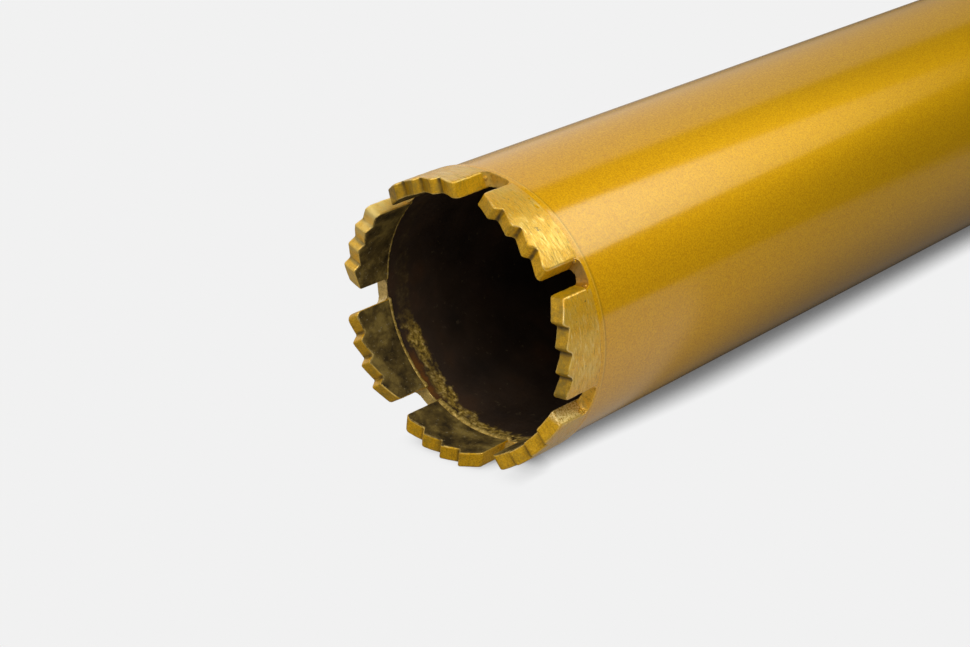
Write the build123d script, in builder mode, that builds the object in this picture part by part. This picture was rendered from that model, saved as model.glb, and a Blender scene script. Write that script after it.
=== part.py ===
"""Diamond core bit for wet drilling: a steel tube with seven saw-toothed segments brazed to its crown
and a threaded hub welded into its other end. Millimetres, +Z along the axis towards the crown, origin
at the centre of the hub's end face, on which the bit stands."""
import math
import os

from build123d import *

# Tube
barrel_radius = 33.4         # outside of the tube
barrel_bore_radius = 30.8    # inside of the tube
barrel_length = 400.0        # tube alone, without the hub's flange and the segments
collar_radius = 34.0         # register at the crown end, flush with the segments
collar_length = 1.4
collar_slope = 0.35          # short slope from the collar down to the tube

# Crown
segment_count = 7
segment_inner_radius = 30.35
segment_outer_radius = 34.0
slot_angle = 10.15           # water slot between two evenly set segments, degrees
first_slot_angle = -90.0     # middle of the first water slot, degrees from +X
segment_shifts = (-0.3, 0.9, 0.2, 0.0, 0.0, -1.5, 0.0)   # degrees: the segments are set by eye
braze_thickness = 0.15
bead_radius = 0.42           # solder that ran out inside, under the segment

# Saw teeth, as heights above the end of the tube
teeth_per_segment = 4
start_height = 8.9           # low end of the first tooth
tip_height = 11.2
valley_height = 9.4
drop_run = 1.3               # run of the steep back of a tooth
start_rounding = 0.9
tip_rounding = 0.6
valley_rounding = 0.4
end_tip_rounding = 1.2       # the last tip ends the segment and is worn rounder
edge_break = 0.3             # upright corners and both long edges of the crest

# Hub
neck_radius = 25.0
neck_length = 30.0
spanner_width = 41.0         # across the two flats
flat_bottom = 7.0            # height at which the flats begin
flange_radius = 33.4
flange_thickness = 5.0
spigot_length = 7.0          # reaches into the tube
thread_radius = 15.875       # 1 1/4"-7 UNC, 31.75 over the thread's roots
thread_chamfer = 1.6
edge_chamfer = 1.0
neck_bevel = 2.0             # strengthens the corner between neck and flange
weld_bevel = 2.0             # on flange and tube, filled by the weld
weld_height = 0.6            # how far the bead stands out

# Heights and angles worked out from these
barrel_bottom = neck_length + flange_thickness
crown_base = barrel_bottom + barrel_length
segment_base = crown_base + braze_thickness
spigot_top = barrel_bottom + spigot_length
segment_middle_radius = (segment_inner_radius + segment_outer_radius) / 2
segment_width = segment_outer_radius - segment_inner_radius
segment_pitch = 360.0 / segment_count
segment_length = 2 * segment_middle_radius * math.sin(math.radians((segment_pitch - slot_angle) / 2))
tooth_pitch = segment_length / teeth_per_segment
layer_width = segment_outer_radius - edge_break - barrel_bore_radius   # of the solder on the tube's end


def saw_crest():
    """Lines of the crest as (place, height, rounding), from the low end at +Y to the last tip at -Y."""
    lines = [(segment_length / 2, start_height, start_rounding)]
    for tooth in range(1, teeth_per_segment):
        boundary = segment_length / 2 - tooth * tooth_pitch
        lines.append((boundary + drop_run / 2, tip_height, tip_rounding))
        lines.append((boundary - drop_run / 2, valley_height, valley_rounding))
    return lines + [(-segment_length / 2, tip_height, end_tip_rounding)]


def crest_line(part, place):
    """The edge of the part's crest that runs from the inner to the outer face at this place."""
    across = part.edges().filter_by(Axis.X).filter_by_position(Axis.Y, place - 0.001, place + 0.001)
    return across.sort_by(Axis.Z)[-1]


# Barrel: the tube with its collar and the weld bevel at the hub end, turned from one profile
with BuildPart() as barrel:
    with BuildSketch(Plane.XZ):
        with BuildLine():
            Polyline(
                (barrel_bore_radius, barrel_bottom),
                (barrel_radius - weld_bevel, barrel_bottom),
                (barrel_radius, barrel_bottom + weld_bevel),
                (barrel_radius, crown_base - collar_length - collar_slope),
                (collar_radius, crown_base - collar_length),
                (collar_radius, crown_base),
                (barrel_bore_radius, crown_base),
                close=True,
            )
        make_face()
    revolve(axis=Axis.Z)

# Segment: a piece of a ring cut to the side view of a saw, seen along the segment's middle radius +X, so
# that all lines of the teeth and both end faces are parallel to that radius
with BuildPart() as segment:
    with BuildSketch(Plane.XZ):
        with Locations((segment_middle_radius, segment_base)):
            Rectangle(segment_width, tip_height, align=(Align.CENTER, Align.MIN))
    revolve(axis=Axis.Z)
    with BuildSketch(Plane(origin=(0, 0, crown_base), x_dir=(0, 1, 0), z_dir=(1, 0, 0))):
        with BuildLine():
            Polyline(
                (-segment_length / 2, braze_thickness),
                (segment_length / 2, braze_thickness),
                *[(place, height) for place, height, _ in saw_crest()],
                close=True,
            )
        make_face()
    extrude(amount=segment_outer_radius, mode=Mode.INTERSECT)
    for place, _, rounding in saw_crest():
        fillet(crest_line(segment, place), rounding)
    # The crest is smooth now, so breaking the upright corners runs on along both of its long edges
    chamfer(segment.edges().filter_by(Axis.Z), edge_break)

# Braze: the solder layer under a segment and the bead that ran out along its inner edge
with BuildPart() as braze:
    with BuildSketch(Plane.XZ):
        with Locations((barrel_bore_radius, segment_base - bead_radius)):
            RegularPolygon(bead_radius, side_count=6, major_radius=False)
        with Locations((barrel_bore_radius, crown_base)):
            Rectangle(4 * bead_radius, 4 * bead_radius, align=(Align.MIN, Align.CENTER), mode=Mode.SUBTRACT)
            Rectangle(layer_width, braze_thickness, align=(Align.MIN, Align.MIN))
    revolve(axis=Axis.Z)
    with BuildSketch(Plane.XY.offset(crown_base - 2 * bead_radius)):
        Rectangle(segment_outer_radius, segment_length, align=(Align.MIN, Align.CENTER))
    extrude(amount=4 * bead_radius, mode=Mode.INTERSECT)

# Hub: spigot, flange and neck turned from one profile, with two spanner flats and the thread's bore
with BuildPart() as hub:
    with BuildSketch(Plane.XZ):
        with BuildLine():
            Polyline(
                (thread_radius + thread_chamfer, 0),
                (neck_radius - edge_chamfer, 0),
                (neck_radius, edge_chamfer),
                (neck_radius, neck_length - neck_bevel),
                (neck_radius + neck_bevel, neck_length),
                (flange_radius, neck_length),
                (flange_radius, barrel_bottom - weld_bevel),
                (flange_radius - weld_bevel, barrel_bottom),
                (barrel_bore_radius, barrel_bottom),
                (barrel_bore_radius, spigot_top),
                (thread_radius, spigot_top),
                (thread_radius, thread_chamfer),
                close=True,
            )
        make_face()
    revolve(axis=Axis.Z)
    with BuildSketch(Plane.XY.offset(flat_bottom)):
        Circle(flange_radius)
        Rectangle(spanner_width, 2 * flange_radius, mode=Mode.SUBTRACT)
    extrude(amount=neck_length - flat_bottom, mode=Mode.SUBTRACT)

# Weld: the bead that fills the groove between flange and tube and stands a little proud of them
with BuildPart() as weld:
    with BuildSketch(Plane.XZ):
        with BuildLine():
            Polyline(
                (flange_radius - weld_bevel, barrel_bottom),
                (flange_radius, barrel_bottom - weld_bevel),
                (flange_radius + weld_height, barrel_bottom),
                (barrel_radius, barrel_bottom + weld_bevel),
                close=True,
            )
        make_face()
    revolve(axis=Axis.Z)

os.makedirs("parts", exist_ok=True)
for name, piece in (("barrel", barrel), ("hub", hub), ("hub_weld", weld)):
    piece.part.label = name
    export_step(piece.part, f"parts/{name}.step")
for number, shift in enumerate(segment_shifts, start=1):
    middle = first_slot_angle - (number - 0.5) * segment_pitch + shift
    for name, piece in (("segment", segment), ("braze", braze)):
        placed = piece.part.rotate(Axis.Z, middle)
        placed.label = f"{name}_{number}"
        export_step(placed, f"parts/{placed.label}.step")
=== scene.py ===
"""Finish of the diamond core bit: dressed pieces, materials and studio, as a Blender add-on."""
import math

import bmesh
import bpy
from bpy.props import FloatProperty, FloatVectorProperty, PointerProperty
from mathutils import Matrix, Vector, noise


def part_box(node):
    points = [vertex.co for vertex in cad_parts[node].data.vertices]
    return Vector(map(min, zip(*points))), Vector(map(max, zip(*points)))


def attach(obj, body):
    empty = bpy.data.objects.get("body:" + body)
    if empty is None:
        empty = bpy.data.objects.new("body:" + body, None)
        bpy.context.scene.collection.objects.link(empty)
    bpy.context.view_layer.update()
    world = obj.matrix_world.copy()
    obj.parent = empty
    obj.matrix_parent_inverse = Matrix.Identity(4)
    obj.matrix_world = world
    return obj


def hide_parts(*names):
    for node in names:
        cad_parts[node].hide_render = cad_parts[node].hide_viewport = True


bl_info = {
    "name": "Core bit finish",
    "version": (1, 0, 0),
    "blender": (4, 5, 0),
    "location": "3D View > Sidebar > Core bit",
    "description": "Dresses the tube, crown, solder and hub of a diamond core bit and sets up its studio",
    "category": "Object",
}

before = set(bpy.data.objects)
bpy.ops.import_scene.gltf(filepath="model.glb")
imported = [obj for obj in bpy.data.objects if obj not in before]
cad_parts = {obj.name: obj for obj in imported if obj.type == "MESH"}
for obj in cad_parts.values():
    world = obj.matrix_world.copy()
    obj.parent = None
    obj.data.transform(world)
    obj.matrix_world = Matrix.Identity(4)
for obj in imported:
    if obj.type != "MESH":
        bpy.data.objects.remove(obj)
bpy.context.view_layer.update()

MM = 0.001
BARREL_LOW, BARREL_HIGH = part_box("barrel")
HUB_LOW, HUB_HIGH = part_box("hub")
_, WELD_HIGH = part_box("hub_weld")
CROWN_BASE = BARREL_HIGH.z          # end of the tube, on which the segments are brazed
COLLAR_RADIUS = BARREL_HIGH.x
FLANGE_RADIUS = HUB_HIGH.x

BARREL_RADIUS = 33.4 * MM
BORE_RADIUS = 30.8 * MM
COLLAR_LENGTH = 1.4 * MM
COLLAR_SLOPE = 0.35 * MM
MOUTH_OUTER_ROUNDING = 0.25 * MM    # of the tube's end
MOUTH_INNER_ROUNDING = 0.3 * MM
RING_STEPS = 256                    # sides of everything that is turned

SEGMENT_COUNT = 7
SEGMENT_INNER = 30.35 * MM
SEGMENT_OUTER = COLLAR_RADIUS
SEGMENT_MIDDLE = (SEGMENT_INNER + SEGMENT_OUTER) / 2
SEGMENT_BASE = CROWN_BASE + 0.15 * MM
SLOT_ANGLE = math.radians(10.15)
FIRST_SLOT = math.radians(-90.0)
SEGMENT_SHIFTS = (-0.3, 0.9, 0.2, 0.0, 0.0, -1.5, 0.0)     # degrees off their even pitch
SEGMENT_PITCH = 2 * math.pi / SEGMENT_COUNT
SEGMENT_LENGTH = 2 * SEGMENT_MIDDLE * math.sin((SEGMENT_PITCH - SLOT_ANGLE) / 2)
TEETH = 4
START_HEIGHT = 8.9 * MM
TIP_HEIGHT = 11.2 * MM
VALLEY_HEIGHT = 9.4 * MM
DROP_RUN = 1.3 * MM                 # length of the steep side of a tooth
START_ROUNDING = 0.9 * MM           # of the low end's corner
TIP_ROUNDING = 0.6 * MM
VALLEY_ROUNDING = 0.4 * MM
END_TIP_ROUNDING = 1.2 * MM
EDGE_ANGLE = math.radians(60)       # edges of a flat segment that turn by more are rounded
WEAR_START = 1.5 * MM               # height above the tube from which edges are rubbed
FACING_LIMIT = 0.7                  # faces that look away from the axis by more are outer faces

# The fillet of solder at an end of a segment, as (distance into the segment, height above the tube) in
# millimetres
FILLET = ((-1.3, 0.0), (-0.9, 0.08), (-0.5, 0.28), (-0.2, 0.62), (0.0, 1.05), (0.08, 1.5))
FILLET_REACH = 1.3 * MM             # from the end face to where the fillet starts
SOLDER_DEPTH = 0.28 * MM            # below the tube's end
SOLDER_INSET = 0.02 * MM            # keeps solder just inside the faces that it meets

NECK_RADIUS = 25.0 * MM
NECK_LENGTH = 30.0 * MM
NECK_BEVEL = 2.0 * MM
SPANNER_WIDTH = 41.0 * MM
FLAT_BOTTOM = 7.0 * MM
THREAD_RADIUS = 15.875 * MM
THREAD_CHAMFER = 1.6 * MM
THREAD_PITCH = 25.4 / 7 * MM
THREAD_DEPTH = 1.85 * MM
SPIGOT_CHAMFER = 0.6 * MM
WELD_BEVEL = 2.0 * MM
WELD_RIPPLE = 1.3 * MM              # from one ripple of the weld to the next

# Shared helpers ---------------------------------


def as_object(name, bm, materials):
    """Turns a bmesh into an object in the scene."""
    mesh = bpy.data.meshes.new(name)
    bm.to_mesh(mesh)
    bm.free()
    for material in materials:
        mesh.materials.append(material)
    thing = bpy.data.objects.new(name, mesh)
    bpy.context.scene.collection.objects.link(thing)
    return thing


def finish_piece(name, bm, materials, replaced):
    """Turns a bmesh into an object of the bit, which stands for the named CAD nodes."""
    piece = as_object(name, bm, materials)
    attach(piece, "root")
    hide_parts(*replaced)


def stage_object(name, bm, material):
    """Turns a bmesh into an object with one material, for the studio."""
    thing = as_object(name, bm, [material])
    return thing


def shade(bm, sharp_degrees):
    """Smooth faces, with the edges that turn by more than the limit kept sharp."""
    limit = math.radians(sharp_degrees)
    for face in bm.faces:
        face.smooth = True
    for edge in bm.edges:
        if len(edge.link_faces) == 2 and edge.calc_face_angle(0.0) > limit:
            edge.smooth = False


def turn(bm, profile, steps=RING_STEPS, angle=2 * math.pi, start=0.0):
    """Spins a closed profile of (radius, height) points about the Z axis; a part turn gets closed ends."""
    across = outward(start)
    corners = [bm.verts.new(across * radius + Vector((0, 0, height))) for radius, height in profile]
    whole = abs(angle) > 2 * math.pi - 1e-6
    if whole:
        outline = [bm.edges.new(pair) for pair in zip(corners, corners[1:] + corners[:1])]
    else:
        outline = [bm.faces.new(corners)]
        outline += list(outline[0].edges)
    bmesh.ops.spin(
        bm, geom=corners + outline, cent=(0, 0, 0), axis=(0, 0, 1), dvec=(0, 0, 0), angle=angle,
        steps=steps, use_merge=whole, use_normal_flip=False, use_duplicate=False,
    )
    if whole:
        bmesh.ops.remove_doubles(bm, verts=bm.verts, dist=1e-7)
    bmesh.ops.recalc_face_normals(bm, faces=bm.faces)


def extruded(bm, side, outer, inner):
    """Fills a side of (along, height) points at the outer distance and extrudes it to the inner one."""
    bm.faces.new([bm.verts.new((along, outer, height)) for along, height in side])
    far = bmesh.ops.extrude_face_region(bm, geom=bm.faces[:])["geom"]
    moved = [item for item in far if isinstance(item, bmesh.types.BMVert)]
    bmesh.ops.translate(bm, verts=moved, vec=(0, inner - outer, 0))


def slice_up(bm, axis, start, end, count):
    """Cuts a bmesh into equal slices across an axis."""
    for number in range(1, count):
        bmesh.ops.bisect_plane(
            bm, geom=bm.verts[:] + bm.edges[:] + bm.faces[:],
            plane_co=axis * (start + (end - start) * number / count), plane_no=axis, dist=1e-6,
        )


def panel_facing(points, direction):
    """A bmesh of one face through the points, turned so that it looks in a direction."""
    bm = bmesh.new()
    face = bm.faces.new([bm.verts.new(point) for point in points])
    face.normal_update()
    if face.normal.dot(direction) < 0:
        face.normal_flip()
    return bm


def rounded(profile, corner, radius, count=4):
    """Replaces a corner of a profile by an arc of count + 1 points."""
    index = profile.index(corner)
    here = Vector(corner)
    before = (Vector(profile[index - 1]) - here).normalized()
    after = (Vector(profile[(index + 1) % len(profile)]) - here).normalized()
    half = before.angle(after) / 2
    centre = here + (before + after).normalized() * radius / math.sin(half)
    start = here + before * radius / math.tan(half) - centre
    end = here + after * radius / math.tan(half) - centre
    arc = [centre + start.slerp(end, step / count) * radius for step in range(count + 1)]
    return profile[:index] + [tuple(point) for point in arc] + profile[index + 1:]


def from_axis(point):
    """Distance of a point from the bit's axis."""
    return Vector(point.xy).length


def outward(angle):
    """Unit vector straight away from the axis at an angle from +X."""
    return Vector((math.cos(angle), math.sin(angle), 0))


# Material helpers -------------------------------


def node(tree, kind, **settings):
    """Adds a node; a setting that starts with in_ is an input's value, any other one an attribute."""
    made = tree.nodes.new(kind)
    for key, value in settings.items():
        if key.startswith("in_"):
            made.inputs[key[3:].replace("_", " ")].default_value = value
        else:
            setattr(made, key, value)
    return made


def new_material(name, **sockets):
    """A material whose principled shader has the named sockets set; returns material, tree, shader."""
    material = bpy.data.materials.new(name)
    material.use_nodes = True
    tree = material.node_tree
    shader = tree.nodes["Principled BSDF"]
    for key, value in sockets.items():
        shader.inputs[key.replace("_", " ")].default_value = value
    return material, tree, shader


def object_space(tree):
    """Place in the object's own coordinates."""
    return node(tree, "ShaderNodeTexCoord").outputs["Object"]


def flat_space(tree):
    """Place on a segment before it was rolled up: x along the ring, y outwards, z up."""
    return node(tree, "ShaderNodeAttribute", attribute_name="flat").outputs["Vector"]


def level_of(tree, name):
    """Level of a segment's own attribute: wear along an edge, or valley between two teeth."""
    return node(tree, "ShaderNodeAttribute", attribute_name=name).outputs["Fac"]


def stretched(tree, space, scale):
    """The space multiplied by three numbers."""
    made = node(tree, "ShaderNodeVectorMath", operation="MULTIPLY")
    made.inputs[1].default_value = scale
    tree.links.new(space, made.inputs[0])
    return made.outputs[0]


def noise_of(tree, space, scale, detail=2.0, roughness=0.5):
    """Soft noise; its scale is in cycles per metre."""
    made = node(tree, "ShaderNodeTexNoise", in_Scale=scale, in_Detail=detail, in_Roughness=roughness)
    tree.links.new(space, made.inputs["Vector"])
    return made.outputs["Fac"]


def ramp_of(tree, factor, *stops):
    """A colour ramp through (position, grey or colour) stops."""
    made = node(tree, "ShaderNodeValToRGB")
    ramp = made.color_ramp
    while len(ramp.elements) < len(stops):
        ramp.elements.new(1.0)
    for element, (position, colour) in zip(ramp.elements, stops):
        element.position = position
        element.color = (*colour, 1) if isinstance(colour, tuple) else (colour, colour, colour, 1)
    tree.links.new(factor, made.inputs["Fac"])
    return made.outputs["Color"]


def maths(tree, operation, first, second, clamp=False):
    """One maths step on sockets or numbers."""
    made = node(tree, "ShaderNodeMath", operation=operation, use_clamp=clamp)
    for slot, value in zip(made.inputs, (first, second)):
        if isinstance(value, (int, float)):
            slot.default_value = value
        else:
            tree.links.new(value, slot)
    return made.outputs[0]


def mapped(tree, value, start, end, to_start=0.0, to_end=1.0):
    """Takes a value from one range softly to another and keeps it inside that."""
    made = node(
        tree, "ShaderNodeMapRange", interpolation_type="SMOOTHSTEP",
        in_From_Min=start, in_From_Max=end, in_To_Min=to_start, in_To_Max=to_end,
    )
    tree.links.new(value, made.inputs["Value"])
    return made.outputs[0]


def along_axis(tree, space, axis):
    """How far a place lies along an axis."""
    made = node(tree, "ShaderNodeVectorMath", operation="DOT_PRODUCT")
    made.inputs[1].default_value = axis
    tree.links.new(space, made.inputs[0])
    return made.outputs["Value"]


def parts_of(tree, space):
    """The x, y and z sockets of a place."""
    made = node(tree, "ShaderNodeSeparateXYZ")
    tree.links.new(space, made.inputs[0])
    return made.outputs[0], made.outputs[1], made.outputs[2]


def sector_of(tree, space, *stops):
    """A ramp round the axis through (degrees from +X, level) stops."""
    x, y, _ = parts_of(tree, space)
    angle = maths(tree, "ARCTAN2", y, x)
    share = maths(tree, "ADD", maths(tree, "DIVIDE", angle, 2 * math.pi), 0.5)
    return ramp_of(tree, share, *((degrees / 360 + 0.5, level) for degrees, level in stops))


def mix_of(tree, factor, first, second):
    """Mixes two colours, given as sockets or tuples, by a factor socket."""
    made = node(tree, "ShaderNodeMix", data_type="RGBA")
    tree.links.new(factor, made.inputs["Factor"])
    for name, value in (("A", first), ("B", second)):
        slot = next(entry for entry in made.inputs if entry.name == name and entry.type == "RGBA")
        if isinstance(value, tuple):
            slot.default_value = (*value, 1)
        else:
            tree.links.new(value, slot)
    return next(entry for entry in made.outputs if entry.type == "RGBA")


def flakes_of(tree, factor, settings):
    """The two tones of the gold paint."""
    return ramp_of(tree, factor, (0.34, tuple(settings.dark)), (0.66, tuple(settings.light)))


def dress(tree, shader, colour, roughness, *bumps):
    """Links the shader's colour and roughness, and chains bumps, each (height socket, strength, distance in
    metres), into its normal."""
    tree.links.new(colour, shader.inputs["Base Color"])
    tree.links.new(roughness, shader.inputs["Roughness"])
    normal = None
    for height, strength, distance in bumps:
        made = node(tree, "ShaderNodeBump", in_Strength=strength, in_Distance=distance)
        tree.links.new(height, made.inputs["Height"])
        if normal:
            tree.links.new(normal, made.inputs["Normal"])
        normal = made.outputs["Normal"]
    tree.links.new(normal, shader.inputs["Normal"])


# Materials --------------------------------------


def gold_paint(name, settings):
    """Semi-gloss metallic gold: a flaked base, rougher near the crown, under a clear coat with slight orange
    peel. On the tube, a painted dark line of shade behind the collar's step and a painted highlight along
    its edge mark where the collar starts."""
    material, tree, shader = new_material(
        name, Metallic=0.6, Specular_IOR_Level=0.0, Coat_Weight=1.0, Coat_Roughness=0.13, Coat_IOR=1.5
    )
    space = object_space(tree)
    flake = noise_of(tree, space, 2600.0, 2.0, 0.6)
    peel = noise_of(tree, space, 700.0, 1.0)
    tone = flakes_of(tree, flake, settings)
    _, _, height = parts_of(tree, space)
    below = maths(tree, "SUBTRACT", CROWN_BASE, height)
    # Painted shade: a dull dark line on the tube just behind the collar's step.
    off_shade_line = maths(tree, "ABSOLUTE", maths(tree, "SUBTRACT", below, 2.2 * MM), 0.0)
    # Painted highlight: a bright line along the collar's rounded edge.
    off_highlight_edge = maths(tree, "ABSOLUTE", maths(tree, "SUBTRACT", below, 1.3 * MM), 0.0)
    lined = mix_of(tree, mapped(tree, off_shade_line, 0.1 * MM, 0.6 * MM, 0.4, 0.0), tone, (0.34, 0.17, 0.003))
    edged = mix_of(tree, mapped(tree, off_highlight_edge, 0.05 * MM, 0.3 * MM, 0.3, 0.0), lined, (0.92, 0.64, 0.12))
    rough = mapped(tree, below, 0.0, 150 * MM, 0.64, 0.42)
    dress(tree, shader, edged, rough, (peel, 0.2, 0.00006), (flake, 0.22, 0.00002))
    return material


def end_material():
    """The tube's end and the solder on it: thin paint, with painted shade that makes it deep orange and
    darker on one side, and painted light that makes it pale on the other.
    """
    material, tree, shader = new_material(
        "tube_end", Metallic=0.45, Specular_IOR_Level=0.1, Coat_Weight=0.5, Coat_Roughness=0.22
    )
    space = object_space(tree)
    grain = noise_of(tree, space, 1500.0, 3.0, 0.6)
    # Painted light and shade: the thin paint's colour round the ring is deep orange and darker on one side
    # and pale on the other.
    film_light_and_shade = sector_of(
        tree, space, (-180, (0.62, 0.31, 0.006)), (-149, (0.60, 0.25, 0.004)), (-140, (0.40, 0.22, 0.03)),
        (-60, (0.72, 0.44, 0.06)), (0, (0.70, 0.50, 0.17)), (80, (0.86, 0.60, 0.16)),
        (150, (0.88, 0.50, 0.05)),
    )
    spots = ramp_of(tree, grain, (0.36, 0.45), (0.52, 0.0))
    spotted = mix_of(tree, spots, film_light_and_shade, (0.20, 0.12, 0.02))
    rough = ramp_of(tree, grain, (0.3, 0.55), (0.7, 0.35))
    dress(tree, shader, spotted, rough, (grain, 0.35, 0.00008))
    return material


def bore_material():
    """Scorched steel inside the tube, with gold overspray that reached in past the end on one side; that
    gold is also painted light, ending in a ragged edge where the light stops reaching in.
    """
    material, tree, shader = new_material("tube_bore", Metallic=0.0, Specular_IOR_Level=0.25)
    space = object_space(tree)
    blotch = noise_of(tree, space, 260.0, 4.0, 0.6)
    stain = noise_of(tree, space, 90.0, 3.0)
    speck = noise_of(tree, space, 900.0, 2.0, 0.6)
    x, y, z = parts_of(tree, space)
    angle = maths(tree, "ARCTAN2", y, x)
    depth = maths(tree, "SUBTRACT", CROWN_BASE, z)
    # Painted light: the gold overspray near the mouth also stands for the light reaching in, and its ragged
    # far edge follows where that light stops.
    waver = maths(tree, "MULTIPLY", maths(tree, "SUBTRACT", blotch, 0.5), 11 * MM)
    ragged = maths(tree, "ADD", depth, waver)
    middle = mapped(tree, angle, math.radians(45), math.radians(95), 5.2 * MM, 2.4 * MM)
    off = maths(tree, "ABSOLUTE", maths(tree, "SUBTRACT", ragged, middle), 0.0)
    spray_light_band = mapped(tree, off, 0.4 * MM, 2.6 * MM, 1.0, 0.0)
    side = sector_of(tree, space, (-20, 0.03), (24, 0.10), (38, 1.0), (112, 1.0), (128, 0.1))
    patchy = ramp_of(tree, stain, (0.35, 0.35), (0.55, 1.0))
    spray_and_light = maths(tree, "MULTIPLY", maths(tree, "MULTIPLY", spray_light_band, side), patchy)
    steel = ramp_of(
        tree, stain,
        (0.3, (0.026, 0.016, 0.010)), (0.55, (0.048, 0.028, 0.016)), (0.8, (0.085, 0.040, 0.018)),
    )
    dusted = mix_of(tree, ramp_of(tree, speck, (0.66, 0.0), (0.76, 0.7)), steel, (0.13, 0.095, 0.05))
    gold = ramp_of(
        tree, speck, (0.34, (0.10, 0.06, 0.011)), (0.5, (0.40, 0.25, 0.034)), (0.66, (0.86, 0.60, 0.17))
    )
    rust_side = sector_of(tree, space, (40, 0.0), (50, 1.0), (62, 1.0), (72, 0.0))
    rust = maths(tree, "MULTIPLY", rust_side, mapped(tree, ragged, 0.8 * MM, 3.4 * MM, 0.8, 0.0))
    rusty = mix_of(tree, rust, dusted, (0.24, 0.085, 0.010))
    sprayed_and_lit = mix_of(tree, spray_and_light, rusty, gold)
    rough = ramp_of(tree, blotch, (0.3, 0.45), (0.7, 0.75))
    dress(tree, shader, sprayed_and_lit, rough, (blotch, 0.5, 0.0002))
    return material


def flank_material(settings):
    """Outer face of a segment: gold paint over ground metal, with pits and fine scratches round the ring."""
    material, tree, shader = new_material(
        "segment_flank", Metallic=0.5, Specular_IOR_Level=0.2, Coat_Weight=0.8, Coat_IOR=1.5
    )
    flat = flat_space(tree)
    space = object_space(tree)
    scratch = noise_of(tree, stretched(tree, flat, (520.0, 900.0, 3600.0)), 1.0, 3.0, 0.65)
    grain = noise_of(tree, space, 2600.0, 3.0, 0.7)
    pit = noise_of(tree, space, 700.0, 2.0, 0.6)
    cloud = noise_of(tree, space, 160.0, 2.0)
    paint = flakes_of(tree, grain, settings)
    tone = mix_of(tree, ramp_of(tree, cloud, (0.44, 0.0), (0.64, 0.45)), paint, (0.68, 0.46, 0.07))
    scored = mix_of(tree, ramp_of(tree, scratch, (0.34, 0.65), (0.44, 0.0)), tone, (0.34, 0.22, 0.03))
    shiny = mix_of(tree, ramp_of(tree, scratch, (0.55, 0.0), (0.66, 0.65)), scored, (0.92, 0.70, 0.24))
    pitted = mix_of(tree, ramp_of(tree, pit, (0.25, 0.7), (0.30, 0.0)), shiny, (0.18, 0.11, 0.02))
    worn = maths(tree, "MULTIPLY", level_of(tree, "wear"), ramp_of(tree, cloud, (0.45, 0.0), (0.65, 0.7)))
    edged = mix_of(tree, worn, pitted, (0.85, 0.62, 0.24))
    rough = ramp_of(tree, scratch, (0.35, 0.6), (0.62, 0.34))
    coat_rough = ramp_of(tree, scratch, (0.35, 0.45), (0.62, 0.24))
    tree.links.new(coat_rough, shader.inputs["Coat Roughness"])
    dress(
        tree, shader, edged, rough,
        (scratch, 0.35, 0.00006), (grain, 0.5, 0.00004), (pit, 0.3, 0.00008),
    )
    return material


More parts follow.
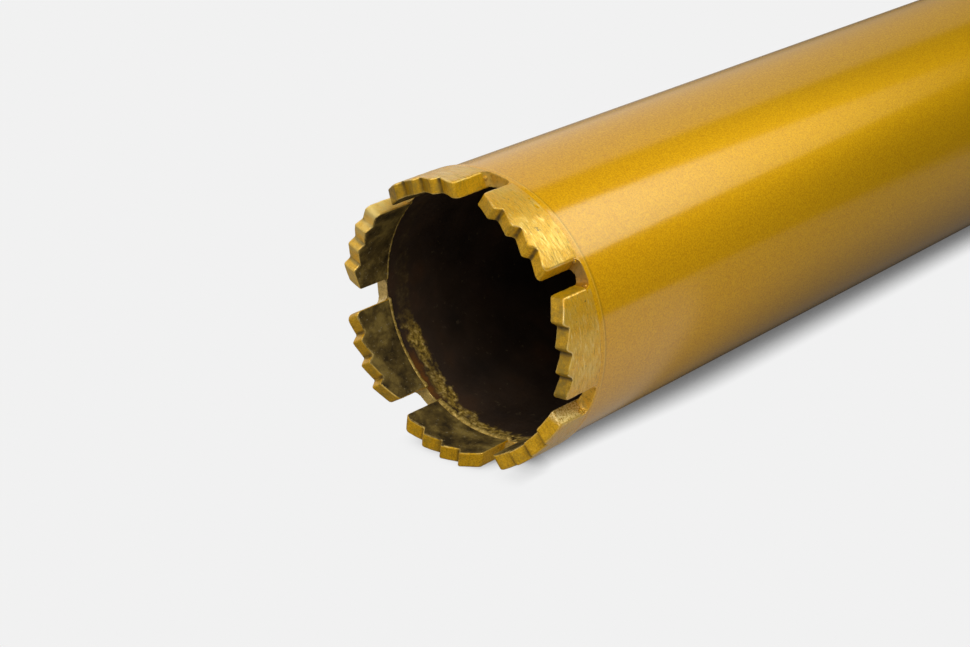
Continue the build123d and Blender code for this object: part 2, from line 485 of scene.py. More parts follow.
def crest_material():
    """Teeth and ends: matrix under a saturated layer of paint, grainy, with faint streaks straight across.
    Some segments are darkened with painted shade, the valleys between teeth get painted shade, one segment
    is made pale with a painted highlight, and one end face is bare."""
    material, tree, shader = new_material(
        "segment_crest", Metallic=0.4, Specular_IOR_Level=0.1, Coat_Weight=0.35, Coat_Roughness=0.3
    )
    flat = flat_space(tree)
    space = object_space(tree)
    streak = noise_of(tree, stretched(tree, flat, (1500.0, 260.0, 900.0)), 1.0, 2.0, 0.5)
    grain = noise_of(tree, space, 2600.0, 3.0, 0.7)
    cloud = noise_of(tree, space, 300.0, 2.0)
    patch = noise_of(tree, space, 520.0, 3.0, 0.6)
    tone = ramp_of(
        tree, grain, (0.3, (0.54, 0.265, 0.002)), (0.5, (0.82, 0.43, 0.004)), (0.72, (0.98, 0.58, 0.022))
    )
    # Painted shade: the crest is darker on the segments round one side, set by angle round the ring.
    painted_shade_side = sector_of(
        tree, space, (-180, 0.80), (-147, 0.5), (-137, 0.0), (-97, 0.4), (-85, 0.3), (-45, 0.9), (-37, 0.0),
        (17, 0.0), (20, 0.3), (58, 0.3), (62, 0.0), (120, 0.0), (124, 0.15), (160, 0.15), (170, 0.85),
    )
    mottle = ramp_of(tree, patch, (0.34, 0.55), (0.62, 1.15))
    painted_shade = maths(tree, "MULTIPLY", painted_shade_side, mottle, clamp=True)
    shade_filmed = mix_of(tree, painted_shade, tone, (0.24, 0.145, 0.010))
    olive = mix_of(tree, ramp_of(tree, patch, (0.52, 0.0), (0.68, 0.45)), shade_filmed, (0.36, 0.24, 0.03))
    lined = mix_of(tree, ramp_of(tree, streak, (0.3, 0.35), (0.46, 0.0)), olive, (0.26, 0.14, 0.005))
    # Painted shade: darker in the valleys between teeth, patchy by noise.
    thick = ramp_of(tree, cloud, (0.3, 1.0), (0.62, 0.45))
    valley_shade = maths(tree, "MULTIPLY", mapped(tree, level_of(tree, "valley"), 0.15, 0.85), thick)
    valley_shaded = mix_of(tree, valley_shade, lined, (0.075, 0.045, 0.008))
    worn = maths(tree, "MULTIPLY", level_of(tree, "wear"), ramp_of(tree, cloud, (0.42, 0.0), (0.62, 0.75)))
    edged = mix_of(tree, worn, valley_shaded, (0.92, 0.64, 0.17))
    bare_side = sector_of(tree, space, (160.4, 0.0), (161.0, 1.0), (164.5, 1.0), (165.5, 0.0))
    bare = maths(tree, "MULTIPLY", bare_side, ramp_of(tree, grain, (0.40, 0.05), (0.56, 0.9)))
    # Painted highlight: one segment's crest is made pale, set by angle round the ring.
    painted_highlight_side = sector_of(
        tree, space, (-38, 0.0), (-34, 0.85), (-18, 0.5), (-8, 0.25), (3, 0.45), (7, 0.0)
    )
    painted_highlight = maths(tree, "MULTIPLY", painted_highlight_side, mottle, clamp=True)
    highlit = mix_of(tree, painted_highlight, edged, (1.0, 0.74, 0.24))
    bared = mix_of(tree, bare, highlit, (0.95, 0.72, 0.30))
    rough = ramp_of(tree, grain, (0.3, 0.55), (0.7, 0.38))
    dress(tree, shader, bared, rough, (streak, 0.25, 0.00010), (grain, 0.4, 0.00006))
    return material


def inner_material():
    """Inner face of a segment: dark olive, where only a haze of paint settled on burnt matrix."""
    material, tree, shader = new_material("segment_inside", Metallic=0.1, Specular_IOR_Level=0.25)
    space = object_space(tree)
    cloud = noise_of(tree, space, 240.0, 4.0, 0.65)
    speck = noise_of(tree, space, 1400.0, 2.0, 0.7)
    tone = ramp_of(
        tree, cloud, (0.34, (0.040, 0.025, 0.007)), (0.5, (0.13, 0.085, 0.021)), (0.68, (0.32, 0.22, 0.055))
    )
    dotted = mix_of(tree, ramp_of(tree, speck, (0.63, 0.0), (0.74, 1.0)), tone, (0.36, 0.29, 0.16))
    worn = maths(tree, "MULTIPLY", level_of(tree, "wear"), ramp_of(tree, speck, (0.35, 0.0), (0.65, 0.8)))
    edged = mix_of(tree, worn, dotted, (0.6, 0.40, 0.10))
    rough = ramp_of(tree, cloud, (0.3, 0.7), (0.7, 0.45))
    dress(tree, shader, edged, rough, (speck, 0.3, 0.00008))
    return material


def solder_material():
    """Bare solder: bright, brassy and uneven."""
    material, tree, shader = new_material("solder", Metallic=0.4, Specular_IOR_Level=0.2)
    space = object_space(tree)
    mottle = noise_of(tree, space, 900.0, 3.0, 0.6)
    tone = ramp_of(
        tree, mottle, (0.3, (0.20, 0.125, 0.022)), (0.5, (0.56, 0.37, 0.08)), (0.72, (0.92, 0.68, 0.22))
    )
    rough = ramp_of(tree, mottle, (0.3, 0.7), (0.7, 0.45))
    dress(tree, shader, tone, rough, (mottle, 0.4, 0.00015))
    return material


def thread_material():
    """Bare turned steel, slightly oily."""
    material, tree, shader = new_material("bare_thread", Metallic=0.9)
    space = object_space(tree)
    lines = noise_of(tree, stretched(tree, space, (60.0, 60.0, 3000.0)), 1.0, 2.0)
    tone = ramp_of(tree, lines, (0.3, (0.30, 0.29, 0.28)), (0.7, (0.52, 0.51, 0.49)))
    rough = ramp_of(tree, lines, (0.3, 0.42), (0.7, 0.28))
    dress(tree, shader, tone, rough, (lines, 0.3, 0.00003))
    return material


# Settings ---------------------------------------


class PaintSettings(bpy.types.PropertyGroup):
    """Colours of the gold paint."""
    dark: FloatVectorProperty(
        name="Dark flake", description="Darker tone of the gold paint", subtype="COLOR",
        default=(0.67, 0.305, 0.002),
    )
    light: FloatVectorProperty(
        name="Light flake", description="Lighter tone of the gold paint", subtype="COLOR",
        default=(0.86, 0.475, 0.005),
    )


class CrownSettings(bpy.types.PropertyGroup):
    """Edges and surface of the segments and their solder."""
    edge_rounding: FloatProperty(
        name="Edge rounding", description="Radius along the edges of a segment", unit="LENGTH",
        default=0.5 * MM,
    )
    roughening: FloatProperty(
        name="Roughening", description="Unevenness of the segments' surface", unit="LENGTH",
        default=0.07 * MM,
    )
    bead_radius: FloatProperty(
        name="Solder bead", description="Radius of the bead inside, under a segment", unit="LENGTH",
        default=0.38 * MM,
    )


class StudioSettings(bpy.types.PropertyGroup):
    """Backdrop, lights and camera."""
    backdrop: FloatProperty(
        name="Backdrop", description="Brightness of the backdrop where nothing shades it", subtype="FACTOR",
        default=0.88,
    )
    softbox: FloatProperty(
        name="Softbox", description="Strength of the softbox", subtype="FACTOR", default=1.0
    )
    lamp: FloatProperty(name="Lamp", description="Power of the lamp, in watts", unit="POWER", default=0.55)
    lens: FloatProperty(
        name="Lens", description="Focal length in millimetres, on a 36 mm sensor", unit="CAMERA",
        default=72.9,
    )


# Pieces -----------------------------------------


def barrel_finish(face):
    """Material of a face of the tube: 0 paint, 1 bore, 2 end."""
    centre = face.calc_center_median()
    if centre.z > CROWN_BASE - 0.2 * MM:
        return 2
    if from_axis(centre) < BORE_RADIUS + 0.1 * MM:
        return 1
    return 0


class COREBIT_OT_barrel(bpy.types.Operator):
    """Turns the painted tube with its collar and bore"""
    bl_idname = "corebit.barrel"
    bl_label = "Barrel"

    def execute(self, context):
        outer_edge = (COLLAR_RADIUS, CROWN_BASE)
        inner_edge = (BORE_RADIUS, CROWN_BASE)
        profile = [
            (BORE_RADIUS, BARREL_LOW.z),
            (BARREL_RADIUS - WELD_BEVEL, BARREL_LOW.z),
            (BARREL_RADIUS, BARREL_LOW.z + WELD_BEVEL),
            (BARREL_RADIUS, CROWN_BASE - COLLAR_LENGTH - COLLAR_SLOPE),
            (COLLAR_RADIUS, CROWN_BASE - COLLAR_LENGTH),
            outer_edge,
            inner_edge,
        ]
        profile = rounded(profile, outer_edge, MOUTH_OUTER_ROUNDING)
        profile = rounded(profile, inner_edge, MOUTH_INNER_ROUNDING)
        bm = bmesh.new()
        turn(bm, profile)
        for face in bm.faces:
            face.material_index = barrel_finish(face)
        shade(bm, sharp_degrees=28)
        settings = context.scene.corebit_paint
        paints = [gold_paint("gold_paint", settings), bore_material(), end_material()]
        finish_piece("barrel_tube", bm, paints, ["barrel"])
        return {"FINISHED"}


def segment_outline():
    """Corners of a segment's crest as (distance from its low end, height above the tube, rounding)."""
    tooth = SEGMENT_LENGTH / TEETH
    corners = [(0.0, START_HEIGHT, START_ROUNDING)]
    for number in range(1, TEETH):
        corners.append((number * tooth - DROP_RUN / 2, TIP_HEIGHT, TIP_ROUNDING))
        corners.append((number * tooth + DROP_RUN / 2, VALLEY_HEIGHT, VALLEY_ROUNDING))
    corners.append((SEGMENT_LENGTH, TIP_HEIGHT, END_TIP_ROUNDING))
    return corners


def flat_segment(bm, settings):
    """The segment before it is bent: its side made as thick as the ring, rounded except at its base."""
    crest = segment_outline()
    side = [(x, CROWN_BASE + height) for x, height, _ in crest]
    side += [(SEGMENT_LENGTH, SEGMENT_BASE), (0.0, SEGMENT_BASE)]
    for corner, (_, _, rounding) in zip(side[:], crest):
        side = rounded(side, corner, rounding)
    extruded(bm, side, SEGMENT_OUTER, SEGMENT_INNER)
    bmesh.ops.recalc_face_normals(bm, faces=bm.faces)
    rim = [
        edge for edge in bm.edges
        if edge.calc_face_angle(0.0) > EDGE_ANGLE
        and max(vert.co.z for vert in edge.verts) > SEGMENT_BASE + 1e-6
    ]
    made = bmesh.ops.bevel(
        bm, geom=rim, offset=settings.edge_rounding, offset_type="OFFSET", segments=3, profile=0.5,
        affect="EDGES", clamp_overlap=True, material=-1,
    )
    rounded_faces = set(made["faces"])
    wear = bm.verts.layers.float["wear"]
    for vert in bm.verts:
        if vert.co.z > CROWN_BASE + WEAR_START and rounded_faces.issuperset(vert.link_faces):
            vert[wear] = 1.0


def cut_up(bm, step=0.45 * MM):
    """Cuts the flat segment along its length, width and height, so that it can bend and be roughened."""
    for axis, start, end in (
        (Vector((1, 0, 0)), 0.0, SEGMENT_LENGTH),
        (Vector((0, 0, 1)), SEGMENT_BASE, CROWN_BASE + TIP_HEIGHT),
        (Vector((0, 1, 0)), SEGMENT_INNER, SEGMENT_OUTER),
    ):
        slice_up(bm, axis, start, end, round((end - start) / step))


def mark_valleys(bm, reach=1.15 * MM):
    """Notes how close each point of the flat segment is to the low line between two teeth."""
    valley = bm.verts.layers.float["valley"]
    lows = [(x, CROWN_BASE + height) for x, height, _ in segment_outline() if height == VALLEY_HEIGHT]
    for vert in bm.verts:
        nearest = min(math.hypot(vert.co.x - x, vert.co.z - z) for x, z in lows)
        vert[valley] = max(0.0, 1.0 - nearest / reach)


def middle_of(number):
    """Angle at which the middle of a segment stands."""
    return FIRST_SLOT - (number - 0.5) * SEGMENT_PITCH + math.radians(SEGMENT_SHIFTS[number - 1])


def bent(point, number):
    """Place on the crown of a point of the flat segment; lines straight across it stay parallel."""
    along = SEGMENT_LENGTH / 2 - point.x
    out = math.sqrt(point.y ** 2 - along ** 2)
    return Matrix.Rotation(middle_of(number), 3, "Z") @ Vector((out, along, point.z))


def bend(bm, number):
    """Bends the flat segment to the ring and keeps where each point was in the flat."""
    flat = bm.verts.layers.float_vector["flat"]
    for vert in bm.verts:
        vert[flat] = vert.co
        vert.co = bent(vert.co, number)
    bmesh.ops.recalc_face_normals(bm, faces=bm.faces)


def facing_out(face):
    """How much a face looks away from the bit's axis: 1 straight out, -1 straight in."""
    centre = face.calc_center_median()
    return face.normal.dot(Vector((centre.x, centre.y, 0)).normalized())


def segment_finish(face):
    """Material of a segment's face: 0 outer face, 1 crest and ends, 2 inner face."""
    facing = facing_out(face)
    if facing > FACING_LIMIT:
        return 0
    return 2 if facing < -FACING_LIMIT else 1


def roughen(bm, depth, seed):
    """Moves the points of a segment in and out a little, less at its base."""
    shift = Vector((seed * 7.3, seed * 3.1, 0))
    bm.normal_update()
    for vert in bm.verts:
        rise = min((vert.co.z - SEGMENT_BASE) / MM, 1.0)
        coarse = noise.noise(vert.co / (2.2 * MM) + shift)
        fine = noise.noise(vert.co / (0.7 * MM) + shift)
        vert.co += vert.normal * depth * rise * (coarse + 0.5 * fine)


class COREBIT_OT_segments(bpy.types.Operator):
    """Makes the saw-toothed segments: rounded, worn and slightly uneven"""
    bl_idname = "corebit.segments"
    bl_label = "Segments"

    def execute(self, context):
        settings = context.scene.corebit_crown
        materials = [flank_material(context.scene.corebit_paint), crest_material(), inner_material()]
        for number in range(1, SEGMENT_COUNT + 1):
            bm = bmesh.new()
            bm.verts.layers.float.new("wear")
            bm.verts.layers.float.new("valley")
            bm.verts.layers.float_vector.new("flat")
            flat_segment(bm, settings)
            cut_up(bm)
            mark_valleys(bm)
            bend(bm, number)
            for face in bm.faces:
                face.material_index = segment_finish(face)
            roughen(bm, settings.roughening, number)
            shade(bm, sharp_degrees=35)
            finish_piece(
                f"segment_{number}_dressed", bm, materials, [f"segment_{number}"]
            )
        return {"FINISHED"}


# Solder that ran out at the slots: segment, its end (0 low, 1 high), radius, height, size, in millimetres
BLOBS = (
    (1, 1, 33.3, 0.9, 0.55),
    (2, 0, 33.2, 0.7, 0.6),
    (2, 1, 33.0, 1.0, 0.6),
    (3, 0, 33.2, 1.6, 0.6),
    (3, 0, 33.4, 0.8, 0.5),
    (7, 0, 33.1, 1.2, 0.7),
    (7, 1, 32.6, 0.8, 0.6),
    (4, 1, 31.2, 0.5, 0.5),
)

# Segments under which more solder ran out inside than under the others
BEAD_SWELL = {4: 2.3, 5: 1.4}


def solder_layer(bm, number):
    """The joint under a segment, with a small fillet up its end face at either end."""
    outside = COLLAR_RADIUS - SOLDER_INSET
    low = CROWN_BASE - SOLDER_DEPTH
    length = SEGMENT_LENGTH
    side = [(x * MM, CROWN_BASE + z * MM) for x, z in FILLET]
    side += [(length - x, z) for x, z in reversed(side)]
    side += [(length + FILLET_REACH, low), (-FILLET_REACH, low)]
    extruded(bm, side, outside, BORE_RADIUS)
    slice_up(bm, Vector((1, 0, 0)), 0.0, length, count=48)
    for vert in bm.verts:
        vert.co = bent(vert.co, number)
    bmesh.ops.recalc_face_normals(bm, faces=bm.faces)


def solder_bead(bm, number, radius):
    """The bead along the inner edge of the joint, of uneven thickness, with rounded ends."""
    centre = (BORE_RADIUS - SOLDER_INSET, SEGMENT_BASE - radius)
    sides = 10
    angles = [2 * math.pi * step / sides for step in range(sides)]
    profile = [
        (centre[0] + radius * math.cos(angle), centre[1] + radius * math.sin(angle)) for angle in angles
    ]
    overrun = math.radians(0.6)
    half = math.asin(SEGMENT_LENGTH / 2 / centre[0]) + overrun
    start = middle_of(number) + half
    sweep = -2 * half
    ends = (start, start + sweep)
    end_length = 0.5 * MM
    before = set(bm.verts)
    turn(bm, profile, steps=72, angle=sweep, start=start)
    for vert in bm.verts:
        if vert in before:
            continue
        angle = math.atan2(vert.co.y, vert.co.x)
        middle = outward(angle) * centre[0] + Vector((0, 0, centre[1]))
        swell = 1.0 + 0.45 * noise.noise(middle / (1.6 * MM)) + 0.25 * noise.noise(middle / (0.6 * MM))
        from_end = min(abs((angle - end + math.pi) % (2 * math.pi) - math.pi) for end in ends)
        near_end = from_end * centre[0] / end_length
        swell *= math.sqrt(max(0.04, 1.0 - (1.0 - min(near_end, 1.0)) ** 2))
        vert.co = middle + (vert.co - middle) * swell


def solder_blob(bm, segment, end, radius, height, size):
    """A drop of solder against one end of a segment."""
    place = bent(Vector((end * SEGMENT_LENGTH, radius * MM, CROWN_BASE + height * MM)), segment)
    made = bmesh.ops.create_icosphere(bm, subdivisions=3, radius=size * MM)
    for vert in made["verts"]:
        bump = noise.noise(vert.co / (0.5 * MM) + place * 1000)
        flattened = Vector((vert.co.x, vert.co.y, vert.co.z * 0.8))
        vert.co = place + flattened * (1.0 + 0.35 * bump)


def solder_finish(face, painted):
    """Material of a face of a joint: 0 gold paint outside, 1 bare bead, 2 thin paint in the slots."""
    if face not in painted:
        return 1
    return 0 if facing_out(face) > FACING_LIMIT else 2


class COREBIT_OT_solder(bpy.types.Operator):
    """Lays the solder joints, their inner beads and the drops at the slots"""
    bl_idname = "corebit.solder"
    bl_label = "Solder"

    def execute(self, context):
        bead = context.scene.corebit_crown.bead_radius
        paint = gold_paint("solder_paint", context.scene.corebit_paint)
        materials = [paint, solder_material(), end_material()]
        for number in range(1, SEGMENT_COUNT + 1):
            bm = bmesh.new()
            solder_layer(bm, number)
            for segment, end, radius, height, size in BLOBS:
                if segment == number:
                    solder_blob(bm, segment, end, radius, height, size)
            painted = set(bm.faces)
            solder_bead(bm, number, bead * BEAD_SWELL.get(number, 1.0))
            bm.normal_update()
            for face in bm.faces:
                face.material_index = solder_finish(face, painted)
            shade(bm, sharp_degrees=40)
            finish_piece(f"solder_{number}", bm, materials, [f"braze_{number}"])
        return {"FINISHED"}


class COREBIT_OT_hub(bpy.types.Operator):
    """Turns the hub with its spanner flats and cuts its thread"""
    bl_idname = "corebit.hub"
    bl_label = "Hub"

    def execute(self, context):
        bottom = HUB_LOW.z
        top = HUB_HIGH.z
        neck_end = bottom + NECK_LENGTH
        foot = (NECK_RADIUS, bottom)
        flange_edge = (FLANGE_RADIUS, neck_end)
        ledge = 0.3 * MM
        top_chamfer = 0.8 * MM
        profile = [
            (THREAD_RADIUS + THREAD_CHAMFER, bottom),
            foot,
            (NECK_RADIUS, bottom + FLAT_BOTTOM),
            (NECK_RADIUS, bottom + FLAT_BOTTOM + ledge),
            (NECK_RADIUS, neck_end - NECK_BEVEL),
            (NECK_RADIUS + NECK_BEVEL, neck_end),
            flange_edge,
            (FLANGE_RADIUS, BARREL_LOW.z - WELD_BEVEL),
            (FLANGE_RADIUS - WELD_BEVEL, BARREL_LOW.z),
            (BORE_RADIUS, BARREL_LOW.z),
            (BORE_RADIUS, top - SPIGOT_CHAMFER),
            (BORE_RADIUS - SPIGOT_CHAMFER, top),
            (THREAD_RADIUS + top_chamfer, top),
            (THREAD_RADIUS, top - top_chamfer),
            (THREAD_RADIUS, bottom + THREAD_CHAMFER),
        ]
        profile = rounded(profile, foot, 1.0 * MM)
        profile = rounded(profile, flange_edge, 0.6 * MM)
        bm = bmesh.new()
        turn(bm, profile)
        half = SPANNER_WIDTH / 2
        for vert in bm.verts:
            on_neck = bottom + FLAT_BOTTOM + ledge / 2 < vert.co.z < neck_end + 1e-6
            if on_neck and THREAD_RADIUS * 1.2 < from_axis(vert.co) < NECK_RADIUS + NECK_BEVEL + 1e-6:
                vert.co.x = min(max(vert.co.x, -half), half)
        for face in bm.faces:
            in_bore = from_axis(face.calc_center_median()) < THREAD_RADIUS + 0.2 * MM
            face.material_index = 1 if in_bore else 0
        self.cut_thread(bm, bottom + THREAD_CHAMFER, top - 1.2 * MM)
        bmesh.ops.recalc_face_normals(bm, faces=bm.faces)
        shade(bm, sharp_degrees=28)
        materials = [gold_paint("hub_paint", context.scene.corebit_paint), thread_material()]
        finish_piece("hub_dressed", bm, materials, ["hub"])
        return {"FINISHED"}

    def cut_thread(self, bm, low, high):
        """The ridge of the thread, wound up inside the bore."""
        root = THREAD_RADIUS + 0.1 * MM
        crest = THREAD_RADIUS - THREAD_DEPTH
        profile = [
            (root, 0.45 * THREAD_PITCH),
            (crest, 0.07 * THREAD_PITCH),
            (crest, -0.07 * THREAD_PITCH),
            (root, -0.45 * THREAD_PITCH),
        ]
        turns = (high - low - THREAD_PITCH) / THREAD_PITCH
        per_turn = 72
        start = low + THREAD_PITCH / 2
        corners = [bm.verts.new((radius, 0, start + height)) for radius, height in profile]
        face = bm.faces.new(corners)
        steps = round(turns * per_turn)
        before = set(bm.faces)
        bmesh.ops.spin(
            bm, geom=corners + list(face.edges) + [face], cent=(0, 0, 0), axis=(0, 0, 1),
            dvec=(0, 0, THREAD_PITCH / per_turn), angle=steps * 2 * math.pi / per_turn, steps=steps,
            use_merge=False, use_normal_flip=False, use_duplicate=False,
        )
        for ridge in bm.faces:
            if ridge not in before or ridge is face:
                ridge.material_index = 1


class COREBIT_OT_weld(bpy.types.Operator):
    """Lays the rippled weld between hub and tube"""
    bl_idname = "corebit.weld"
    bl_label = "Weld"

    def execute(self, context):
        seam = BARREL_LOW.z
        half = WELD_BEVEL + 0.35 * MM
        crown = WELD_HIGH.x - BARREL_RADIUS
        profile = [(BARREL_RADIUS - WELD_BEVEL - 0.3 * MM, seam)]
        count = 10
        for step in range(count + 1):
            share = step / count
            rise = math.sin(math.pi * share) ** 0.7
            profile.append((BARREL_RADIUS - 0.06 * MM + crown * rise * 0.9, seam - half + 2 * half * share))
        bm = bmesh.new()
        turn(bm, profile, steps=1080)
        waves = round(2 * math.pi * BARREL_RADIUS / WELD_RIPPLE)
        ripple_bow, ripple_height = 1.2 * MM, 0.07 * MM
        drift_height, edge_drift, sink = 0.06 * MM, 0.15 * MM, 0.1 * MM
        for vert in bm.verts:
            if from_axis(vert.co) < BARREL_RADIUS:
                continue
            angle = math.atan2(vert.co.y, vert.co.x)
            off_middle = (vert.co.z - seam) / half
            run = angle * BARREL_RADIUS - ripple_bow * off_middle ** 2
            wave = math.sin(waves * run / BARREL_RADIUS)
            drift = noise.noise(vert.co / (4 * MM))
            grow = ripple_height * wave * (1 - off_middle ** 2) + drift_height * drift
            vert.co += outward(angle) * (grow - sink)
            side = 1 if off_middle > 0 else -1
            vert.co.z += edge_drift * noise.noise(Vector((angle * 12, 3.7, 0))) * side
        shade(bm, sharp_degrees=50)
        material = gold_paint("weld_paint", context.scene.corebit_paint)
        finish_piece("weld_bead", bm, [material], ["hub_weld"])
        return {"FINISHED"}


# Studio -----------------------------------------


# The backdrop touches the tube where the bit would lie on a table; its face looks this way
TABLE_UP = Vector((0.12681, -0.99193, 0.0))
TABLE_ALONG = Vector((0, 0, 1)).cross(TABLE_UP)
CAMERA_PLACE = Vector((-247.84, -207.56, 737.03)) * MM
CAMERA_AIM = Vector((-1.14, 2.07, 435.5)) * MM
FLOOR_RADIUS = 0.35
WALL_LEFT, WALL_RIGHT = -0.30, 0.60
WALL_BOTTOM, WALL_TOP = 0.05, 0.75

# Soft shade on the backdrop: how near the bit it starts, and how dark it gets
SHADE_REACH = 7.5 * MM
SHADE_POWER = 1.5
SHADE_STRENGTH = 1.25
SHADE_LIMIT = 0.83

# The softbox stands beside the bit, tapers towards the hub and fades there
SOFTBOX_TURN = math.radians(-110.2)
SOFTBOX_DISTANCE = 0.30
SOFTBOX_OUTLINE = (
    (-0.12, 0.36), (0.095, 0.36), (0.095, 0.13), (0.035, -0.20), (-0.045, -0.20), (-0.12, 0.13)
)
SOFTBOX_FADE = (
    (-0.20, 0.0), (-0.17, 0.1), (-0.11, 0.28), (-0.04, 0.55), (0.02, 0.95), (0.08, 2.1), (0.14, 3.2),
    (0.25, 3.2), (0.36, 1.8),
)
SOFTBOX_TONE = (1.03, 1.11, 0.90)   # slightly yellow

# The lamp stands beyond the softbox's top and is aimed at the bit just below its crown
LAMP_SIZE = 0.2
LAMP_DISTANCE = 0.32
LAMP_HEIGHT = 0.54
LAMP_AIM = Vector((0, 0, 0.40))

# World light: bands round the bit as (degrees from +X to start and end, brightness), below and above it
LOWER_BANDS = ((-180, -62, 0.05), (-62, 7, 1.0), (7, 180, 0.42))
UPPER_BANDS = ((-180, -62, 0.42), (-62, 7, 0.75), (7, 180, 0.36))


def emptied(owner):
    """Switches a material or world to nodes, and returns its tree with nothing in it."""
    owner.use_nodes = True
    owner.node_tree.nodes.clear()
    return owner.node_tree


def end_with(tree, kind, factor, first, second):
    """Mixes two shaders by a factor into the tree's output, which is of the given kind."""
    both = node(tree, "ShaderNodeMixShader")
    for value, slot in zip((factor, first.outputs[0], second.outputs[0]), both.inputs):
        tree.links.new(value, slot)
    tree.links.new(both.outputs[0], node(tree, kind).inputs["Surface"])


def make_backdrop_material(settings):
    """Even pale surface to look at, which darkens close to the bit; its back can be seen through."""
    material = bpy.data.materials.new("backdrop")
    tree = emptied(material)
    link = tree.links.new
    near = node(tree, "ShaderNodeAmbientOcclusion", samples=16)
    hidden = maths(tree, "SUBTRACT", 1.0, near.outputs["AO"])
    strong = maths(tree, "MULTIPLY", maths(tree, "POWER", hidden, SHADE_POWER), SHADE_STRENGTH)
    shadow = maths(tree, "MINIMUM", strong, SHADE_LIMIT)
    _, _, height = parts_of(tree, object_space(tree))
    reach = mapped(tree, height, CROWN_BASE - 70 * MM, CROWN_BASE, SHADE_REACH, SHADE_REACH * 0.7)
    link(reach, near.inputs["Distance"])
    beside = mapped(tree, height, CROWN_BASE - 4 * MM, CROWN_BASE + 15 * MM, 1.0, 0.0)
    shaded = maths(tree, "SUBTRACT", 1.0, maths(tree, "MULTIPLY", shadow, beside))
    rays = node(tree, "ShaderNodeLightPath")
    light = mix_of(tree, rays.outputs["Is Camera Ray"], lit_table(tree), (settings.backdrop,) * 3)
    level = node(tree, "ShaderNodeVectorMath", operation="SCALE")
    link(light, level.inputs[0])
    link(shaded, level.inputs["Scale"])
    glow = node(tree, "ShaderNodeEmission")
    link(level.outputs[0], glow.inputs["Color"])
    side = node(tree, "ShaderNodeNewGeometry").outputs["Backfacing"]
    clear = node(tree, "ShaderNodeBsdfTransparent")
    end_with(tree, "ShaderNodeOutputMaterial", side, glow, clear)
    return material


def lit_table(tree):
    """Light that the backdrop throws on the bit: bright past a slanting edge by the crown, dim behind it
    and towards the line where the two meet."""
    space = object_space(tree)
    slant = TABLE_ALONG * -1.07 + Vector((0, 0, 1))
    behind, past = 0.22, 0.62
    share = mapped(tree, along_axis(tree, space, slant), 0.412, 0.428, behind, past)
    distance = maths(tree, "ABSOLUTE", along_axis(tree, space, TABLE_ALONG), 0.0)
    return maths(tree, "MULTIPLY", share, mapped(tree, distance, 0.0, 0.07, 0.35, 1.0))


def make_floor(material):
    """The round floor that the bit stands on."""
    bm = bmesh.new()
    bmesh.ops.create_circle(bm, cap_ends=True, segments=96, radius=FLOOR_RADIUS)
    floor = stage_object("floor", bm, material)
    floor.visible_glossy = False


def make_wall(material):
    """The upright backdrop along the tube."""
    foot = COLLAR_RADIUS * -TABLE_UP
    left, right = foot + TABLE_ALONG * WALL_LEFT, foot + TABLE_ALONG * WALL_RIGHT
    low, high = Vector((0, 0, WALL_BOTTOM)), Vector((0, 0, WALL_TOP))
    points = [left + low, left + high, right + high, right + low]
    stage_object("wall", panel_facing(points, TABLE_UP), material)


def make_softbox(settings):
    """A glowing panel that only the bit sees; it gives the tube its long highlight."""
    out = outward(SOFTBOX_TURN)
    side = Vector((0, 0, 1)).cross(out)
    points = [
        out * SOFTBOX_DISTANCE + side * across + Vector((0, 0, height)) for across, height in SOFTBOX_OUTLINE
    ]
    material = bpy.data.materials.new("softbox")
    tree = emptied(material)
    _, _, rise = parts_of(tree, object_space(tree))
    low, high = SOFTBOX_FADE[0][0], SOFTBOX_FADE[-1][0]
    share = node(tree, "ShaderNodeMapRange", in_From_Min=low, in_From_Max=high)
    tree.links.new(rise, share.inputs["Value"])
    stops = [
        ((height - low) / (high - low), tuple(level * part for part in SOFTBOX_TONE))
        for height, level in SOFTBOX_FADE
    ]
    fade = ramp_of(tree, share.outputs[0], *stops)
    glow = node(tree, "ShaderNodeEmission", in_Strength=settings.softbox)
    out_node = node(tree, "ShaderNodeOutputMaterial")
    tree.links.new(fade, glow.inputs["Color"])
    tree.links.new(glow.outputs[0], out_node.inputs["Surface"])
    softbox = stage_object("softbox", panel_facing(points, -out), material)
    softbox.visible_camera = False
    softbox.visible_shadow = False


def make_lamp(context, settings):
    """The lamp beyond the crown, which lights its end of the bit more than the far one."""
    lamp_data = bpy.data.lights.new("crown_lamp", "AREA")
    lamp_data.size = LAMP_SIZE
    lamp_data.energy = settings.lamp
    lamp = bpy.data.objects.new("crown_lamp", lamp_data)
    context.scene.collection.objects.link(lamp)
    out = outward(SOFTBOX_TURN)
    place = out * LAMP_DISTANCE + Vector((0, 0, LAMP_HEIGHT))
    aim = LAMP_AIM - place
    lamp.matrix_world = Matrix.Translation(place) @ aim.to_track_quat("-Z", "Y").to_matrix().to_4x4()


def bands_of(tree, space, bands, soft=3.0):
    """Brightness round the axis for bands with soft edges."""
    stops = []
    for start, end, level in bands:
        stops += [(start + soft, level), (end - soft, level)]
    return sector_of(tree, space, *stops)


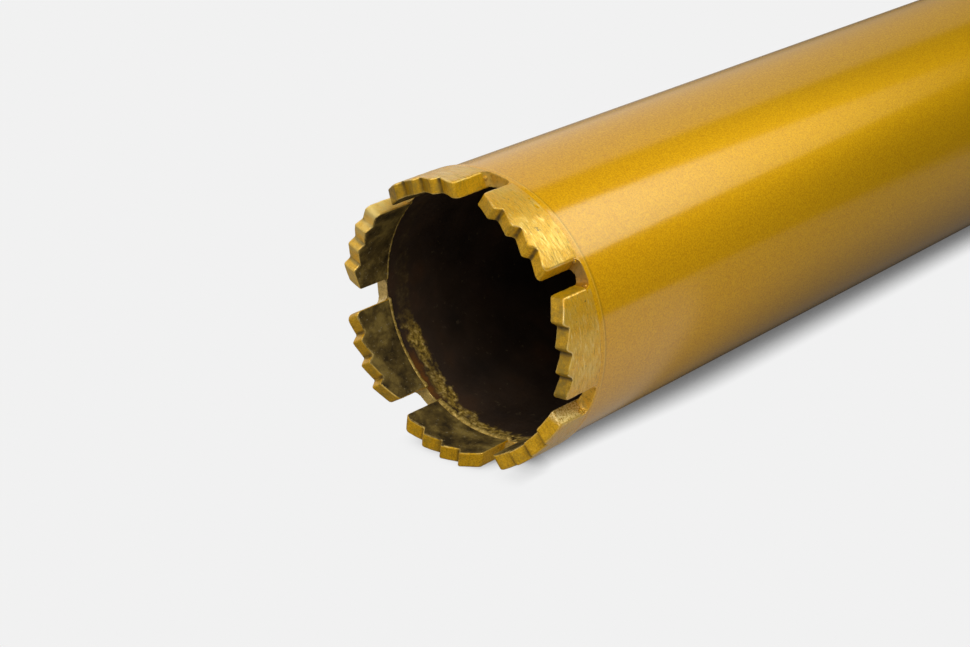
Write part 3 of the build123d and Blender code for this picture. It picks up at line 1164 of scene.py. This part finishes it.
def make_world(context, settings):
    """Even background to look at, with bands of light round the bit for everything else."""
    world = bpy.data.worlds.new("studio_light")
    context.scene.world = world
    tree = emptied(world)
    direction = node(tree, "ShaderNodeTexCoord").outputs["Generated"]
    _, _, rise = parts_of(tree, direction)
    lower = bands_of(tree, direction, LOWER_BANDS)
    upper = bands_of(tree, direction, UPPER_BANDS)
    bands = mix_of(tree, mapped(tree, rise, 0.0, 0.35), lower, upper)
    lit = node(tree, "ShaderNodeBackground")
    tree.links.new(bands, lit.inputs["Color"])
    tree.links.new(mapped(tree, rise, -1.0, -0.5), lit.inputs["Strength"])
    seen = node(tree, "ShaderNodeBackground", in_Color=(settings.backdrop,) * 3 + (1,))
    looked_at = node(tree, "ShaderNodeLightPath").outputs["Is Camera Ray"]
    end_with(tree, "ShaderNodeOutputWorld", looked_at, lit, seen)


def make_camera(context, settings):
    """The camera looks along the bit from beyond its crown; its up is the table's."""
    camera_data = bpy.data.cameras.new("camera")
    camera = bpy.data.objects.new("camera", camera_data)
    context.scene.collection.objects.link(camera)
    camera_data.lens = settings.lens
    camera_data.sensor_width = 36.0
    camera_data.clip_start = 0.01
    forward = (CAMERA_AIM - CAMERA_PLACE).normalized()
    right = forward.cross(TABLE_UP).normalized()
    up = right.cross(forward)
    turned = Matrix((right, up, -forward)).transposed().to_4x4()
    camera.matrix_world = Matrix.Translation(CAMERA_PLACE) @ turned
    context.scene.camera = camera


class COREBIT_OT_studio(bpy.types.Operator):
    """Sets up the floor, the backdrop, the light and the camera"""
    bl_idname = "corebit.studio"
    bl_label = "Studio"

    def execute(self, context):
        settings = context.scene.corebit_studio
        backdrop_material = make_backdrop_material(settings)
        make_floor(backdrop_material)
        make_wall(backdrop_material)
        make_softbox(settings)
        make_lamp(context, settings)
        make_world(context, settings)
        make_camera(context, settings)
        context.scene.view_settings.view_transform = "Standard"
        return {"FINISHED"}


# Add-on -----------------------------------------


class COREBIT_PT_panel(bpy.types.Panel):
    """Buttons for the pieces and the studio, in the sidebar"""
    bl_label = "Core bit"
    bl_idname = "COREBIT_PT_panel"
    bl_space_type = "VIEW_3D"
    bl_region_type = "UI"
    bl_category = "Core bit"

    def draw(self, context):
        for operator in OPERATORS:
            self.layout.operator(operator.bl_idname)


SETTINGS = (
    ("corebit_paint", PaintSettings),
    ("corebit_crown", CrownSettings),
    ("corebit_studio", StudioSettings),
)
OPERATORS = (
    COREBIT_OT_barrel,
    COREBIT_OT_segments,
    COREBIT_OT_solder,
    COREBIT_OT_hub,
    COREBIT_OT_weld,
    COREBIT_OT_studio,
)


def register():
    """Adds the settings, the operators and the panel."""
    for name, group in SETTINGS:
        bpy.utils.register_class(group)
        setattr(bpy.types.Scene, name, PointerProperty(type=group))
    for thing in (*OPERATORS, COREBIT_PT_panel):
        bpy.utils.register_class(thing)


def unregister():
    """Takes them away again."""
    for thing in (COREBIT_PT_panel, *reversed(OPERATORS)):
        bpy.utils.unregister_class(thing)
    for name, group in reversed(SETTINGS):
        delattr(bpy.types.Scene, name)
        bpy.utils.unregister_class(group)


def main():
    """Makes every piece and the studio."""
    register()
    bpy.ops.corebit.barrel()
    bpy.ops.corebit.segments()
    bpy.ops.corebit.solder()
    bpy.ops.corebit.hub()
    bpy.ops.corebit.weld()
    bpy.ops.corebit.studio()


if __name__ == "__main__":
    main()
